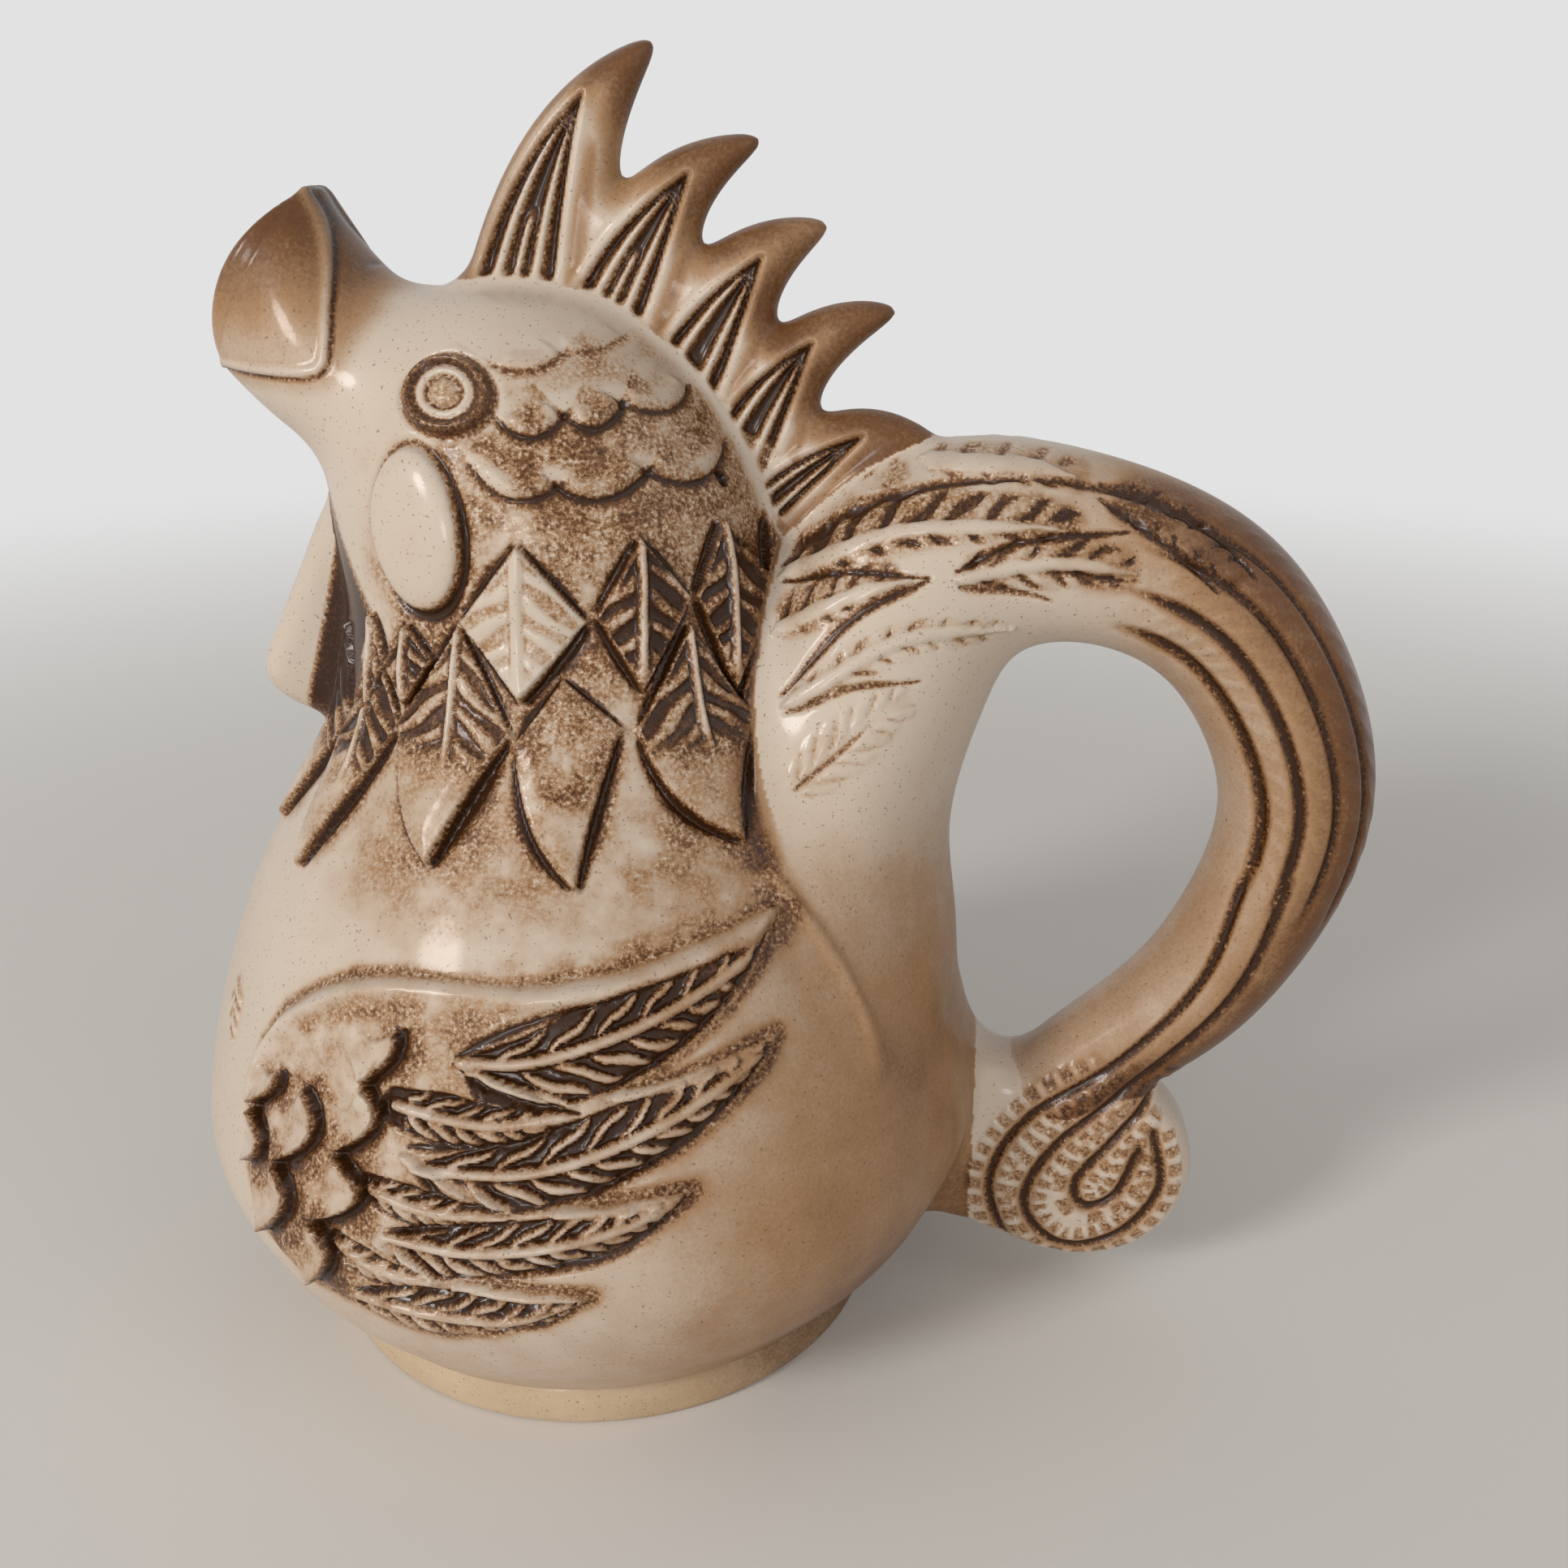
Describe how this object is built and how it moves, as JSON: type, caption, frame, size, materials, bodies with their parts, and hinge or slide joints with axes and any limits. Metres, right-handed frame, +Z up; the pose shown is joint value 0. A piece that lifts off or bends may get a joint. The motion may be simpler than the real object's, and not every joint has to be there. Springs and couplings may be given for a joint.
{
  "type": "rooster-shaped stoneware jug",
  "caption": "Stoneware jug shaped as a rooster, poured from its open beak, with a comb, feather relief and a tail that arches back as the handle and ends in a curl.",
  "frame": {"origin": "under the middle of the whole jug, on the surface the foot ring stands on", "axes": "+Z up, -X towards the beak, +X towards the tail handle, -Y towards the bird's left side"},
  "size_m": [0.2046, 0.1446, 0.217],
  "materials": {
    "cream_glaze": "satin cream stoneware glaze with fine iron specks",
    "brown_glaze": "satin cream glaze with brown oxide pooled in the relief",
    "bare_clay": "pale thinly glazed clay of the foot"
  },
  "bodies": {
    "root": {"foot_ring": "bare_clay", "belly": "cream_glaze", "neck": "cream_glaze", "head": "cream_glaze", "beak_spout": "brown_glaze", "comb": "brown_glaze", "throat_wattle": "cream_glaze", "ear_lobe_left": "cream_glaze", "ear_lobe_right": "cream_glaze", "eye_left": "cream_glaze", "eye_right": "cream_glaze", "hackle_upper_left": "brown_glaze", "hackle_upper_right": "brown_glaze", "hackle_middle_left": "brown_glaze", "hackle_middle_right": "brown_glaze", "hackle_lower": "brown_glaze", "wing_left": "brown_glaze", "wing_right": "brown_glaze", "breast_leaf_left": "cream_glaze", "breast_leaf_right": "cream_glaze", "tail_root": "cream_glaze", "tail_handle": "brown_glaze", "tail_curl": "cream_glaze", "handle_bridge": "cream_glaze"}
  },
  "joints": []
}
